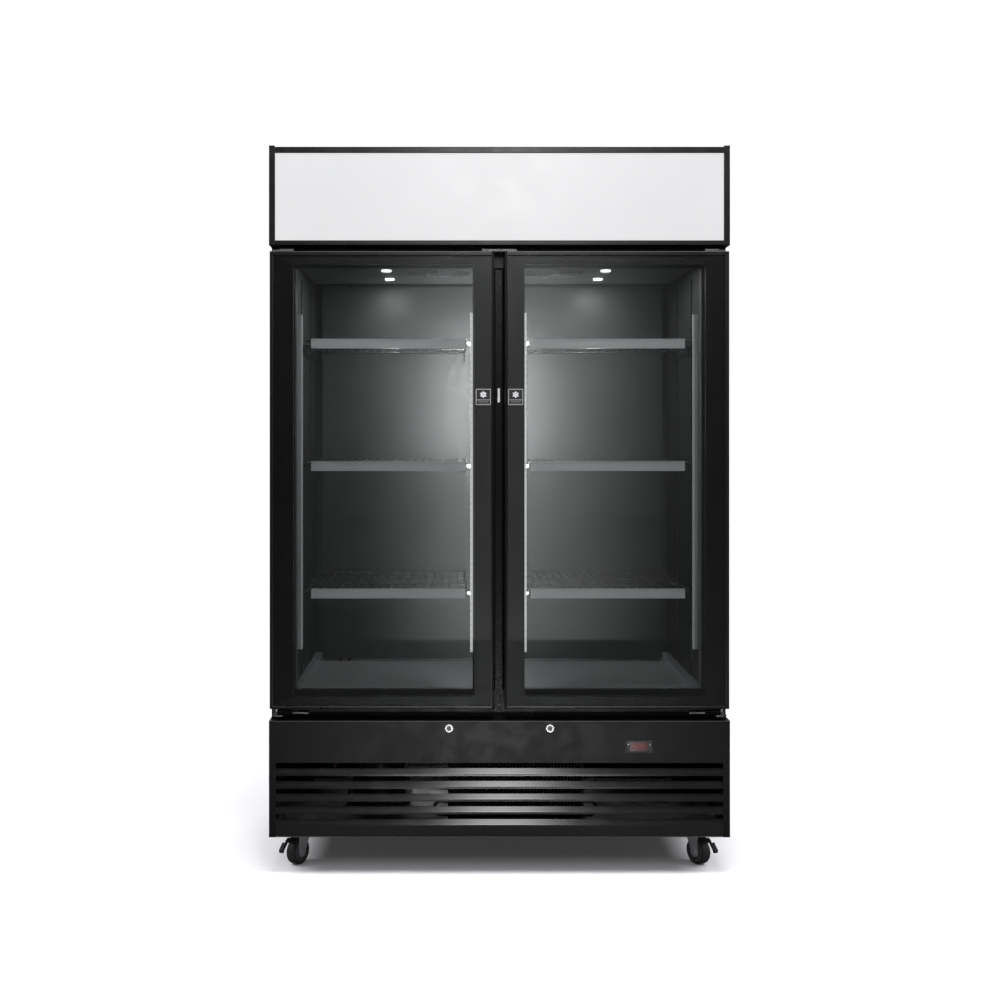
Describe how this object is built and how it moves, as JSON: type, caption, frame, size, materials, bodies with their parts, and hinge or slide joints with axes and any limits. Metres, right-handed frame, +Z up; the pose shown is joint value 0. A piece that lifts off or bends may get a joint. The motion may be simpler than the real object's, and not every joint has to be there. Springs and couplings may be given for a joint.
{
  "type": "glass door merchandiser",
  "caption": "Upright refrigerated display cabinet with two hinged glass doors, lit sign box on top, wire shelves, louvred base and swivel casters.",
  "frame": {"origin": "on the floor, under the middle of the object's bounding box", "axes": "+Z up, doors face -Y, +X to the right of a person who faces the doors"},
  "size_m": [1.34, 0.776, 2.12],
  "materials": {
    "outer_paint": "satin",
    "inner_paint": "satin",
    "door_profile": "satin",
    "sign_profile": "satin",
    "sign_acrylic": "matte",
    "lamp_diffuser": "satin",
    "foam": "matte",
    "zinc_plate": "satin",
    "coated_wire": "satin",
    "rail_plastic": "satin",
    "fin_aluminium": "satin",
    "motor_paint": "satin",
    "fan_plastic": "matte",
    "galvanised": "satin",
    "compressor_paint": "satin",
    "copper": "satin",
    "black_plastic": "satin",
    "display": "gloss",
    "key_plastic": "matte",
    "chrome_lock": "polished",
    "pane": "gloss",
    "printed_border": "gloss",
    "gasket_rubber": "matte",
    "wheel_rubber": "satin",
    "pedal_paint": "satin"
  },
  "bodies": {
    "cabinet": {"cabinet_casing": "outer_paint", "insulation_foam": "foam", "inner_liner": "inner_paint", "face_frame": "outer_paint", "mullion": "outer_paint", "mullion_fittings": "zinc_plate", "rear_duct_panel": "inner_paint", "shelf_pilasters": "inner_paint", "shelf_clips": "zinc_plate", "wire_shelves": "coated_wire", "price_rails": "rail_plastic", "interior_lamps": "lamp_diffuser", "evaporator_cover": "inner_paint", "evaporator_coil": "fin_aluminium", "fan_motors": "motor_paint", "sign_frame": "sign_profile", "sign_panel": "sign_acrylic", "sign_housing": "outer_paint", "sign_lamp_bars": "lamp_diffuser", "base_pan": "galvanised", "base_panels": "outer_paint", "control_fascia": "outer_paint", "louvre_grille": "outer_paint", "condenser_coil": "fin_aluminium", "condenser_shroud": "galvanised", "compressor": "compressor_paint", "refrigerant_pipes": "copper", "junction_box": "black_plastic", "thermostat_case": "black_plastic", "thermostat_window": "display", "lock_barrels": "chrome_lock", "hinge_brackets": "zinc_plate", "caster_plates": "zinc_plate"},
    "door_left": {"door_frame_left": "door_profile", "door_handle_left": "door_profile", "door_glass_left": "pane", "glass_border_left": "printed_border", "door_gasket_left": "gasket_rubber"},
    "door_right": {"door_frame_right": "door_profile", "door_handle_right": "door_profile", "door_glass_right": "pane", "glass_border_right": "printed_border", "door_gasket_right": "gasket_rubber"},
    "lock_left": {"lock_plug_left": "chrome_lock"},
    "lock_right": {"lock_plug_right": "chrome_lock"},
    "key_left": {"thermostat_key_left": "key_plastic"},
    "key_right": {"thermostat_key_right": "key_plastic"},
    "evaporator_fan_left": {"evaporator_fan_left": "fan_plastic"},
    "evaporator_fan_right": {"evaporator_fan_right": "fan_plastic"},
    "condenser_fan": {"condenser_fan": "fan_plastic"},
    "caster_front_left": {"caster_fork_front_left": "zinc_plate"},
    "wheel_front_left": {"caster_wheel_front_left": "wheel_rubber"},
    "brake_front_left": {"brake_pedal_front_left": "pedal_paint"},
    "caster_front_right": {"caster_fork_front_right": "zinc_plate"},
    "wheel_front_right": {"caster_wheel_front_right": "wheel_rubber"},
    "brake_front_right": {"brake_pedal_front_right": "pedal_paint"},
    "caster_rear_left": {"caster_fork_rear_left": "zinc_plate"},
    "wheel_rear_left": {"caster_wheel_rear_left": "wheel_rubber"},
    "caster_rear_right": {"caster_fork_rear_right": "zinc_plate"},
    "wheel_rear_right": {"caster_wheel_rear_right": "wheel_rubber"}
  },
  "joints": [
    {"name": "door_left_hinge", "type": "hinge", "parent": "cabinet", "child": "door_left", "pos_m": [-0.653, -0.3455, 1.15], "axis": [0, 0, -1], "range_deg": [0, 110], "stiffness_Nm_per_rad": 1.2},
    {"name": "door_right_hinge", "type": "hinge", "parent": "cabinet", "child": "door_right", "pos_m": [0.653, -0.3455, 1.15], "axis": [0, 0, 1], "range_deg": [0, 110], "stiffness_Nm_per_rad": 1.2},
    {"name": "lock_left_turn", "type": "hinge", "parent": "cabinet", "child": "lock_left", "pos_m": [-0.1465, -0.37, 0.427], "axis": [0, -1, 0], "range_deg": [0, 90]},
    {"name": "lock_right_turn", "type": "hinge", "parent": "cabinet", "child": "lock_right", "pos_m": [0.1465, -0.37, 0.427], "axis": [0, 1, 0], "range_deg": [0, 90]},
    {"name": "key_left_rock", "type": "hinge", "parent": "cabinet", "child": "key_left", "pos_m": [0.3738, -0.383, 0.374], "axis": [1, 0, 0], "range_deg": [-2.5, 2.5], "stiffness_Nm_per_rad": 0.05},
    {"name": "key_right_rock", "type": "hinge", "parent": "cabinet", "child": "key_right", "pos_m": [0.4362, -0.383, 0.374], "axis": [1, 0, 0], "range_deg": [-2.5, 2.5], "stiffness_Nm_per_rad": 0.05},
    {"name": "evaporator_fan_left_spin", "type": "hinge", "parent": "cabinet", "child": "evaporator_fan_left", "pos_m": [-0.18, 0, 1.829], "axis": [0, 0, 1], "continuous": true},
    {"name": "evaporator_fan_right_spin", "type": "hinge", "parent": "cabinet", "child": "evaporator_fan_right", "pos_m": [0.18, 0, 1.829], "axis": [0, 0, 1], "continuous": true},
    {"name": "condenser_fan_spin", "type": "hinge", "parent": "cabinet", "child": "condenser_fan", "pos_m": [0.05, -0.214, 0.262], "axis": [0, 1, 0], "continuous": true},
    {"name": "caster_front_left_swivel", "type": "hinge", "parent": "cabinet", "child": "caster_front_left", "pos_m": [-0.583, -0.251, 0.097], "axis": [0, 0, 1], "continuous": true},
    {"name": "wheel_front_left_roll", "type": "hinge", "parent": "caster_front_left", "child": "wheel_front_left", "pos_m": [-0.59784, -0.27475, 0.038], "axis": [-0.848, 0.5299, 0], "continuous": true},
    {"name": "brake_front_left_press", "type": "hinge", "parent": "caster_front_left", "child": "brake_front_left", "pos_m": [-0.60102, -0.27983, 0.083], "axis": [-0.848, 0.5299, 0], "range_deg": [0, 20]},
    {"name": "caster_front_right_swivel", "type": "hinge", "parent": "cabinet", "child": "caster_front_right", "pos_m": [0.583, -0.251, 0.097], "axis": [0, 0, 1], "continuous": true},
    {"name": "wheel_front_right_roll", "type": "hinge", "parent": "caster_front_right", "child": "wheel_front_right", "pos_m": [0.59784, -0.27475, 0.038], "axis": [-0.848, -0.5299, 0], "continuous": true},
    {"name": "brake_front_right_press", "type": "hinge", "parent": "caster_front_right", "child": "brake_front_right", "pos_m": [0.60102, -0.27983, 0.083], "axis": [-0.848, -0.5299, 0], "range_deg": [0, 20]},
    {"name": "caster_rear_left_swivel", "type": "hinge", "parent": "cabinet", "child": "caster_rear_left", "pos_m": [-0.583, 0.3, 0.097], "axis": [0, 0, 1], "continuous": true},
    {"name": "wheel_rear_left_roll", "type": "hinge", "parent": "caster_rear_left", "child": "wheel_rear_left", "pos_m": [-0.583, 0.328, 0.038], "axis": [1, 0, 0], "continuous": true},
    {"name": "caster_rear_right_swivel", "type": "hinge", "parent": "cabinet", "child": "caster_rear_right", "pos_m": [0.583, 0.3, 0.097], "axis": [0, 0, 1], "continuous": true},
    {"name": "wheel_rear_right_roll", "type": "hinge", "parent": "caster_rear_right", "child": "wheel_rear_right", "pos_m": [0.583, 0.328, 0.038], "axis": [1, 0, 0], "continuous": true}
  ]
}
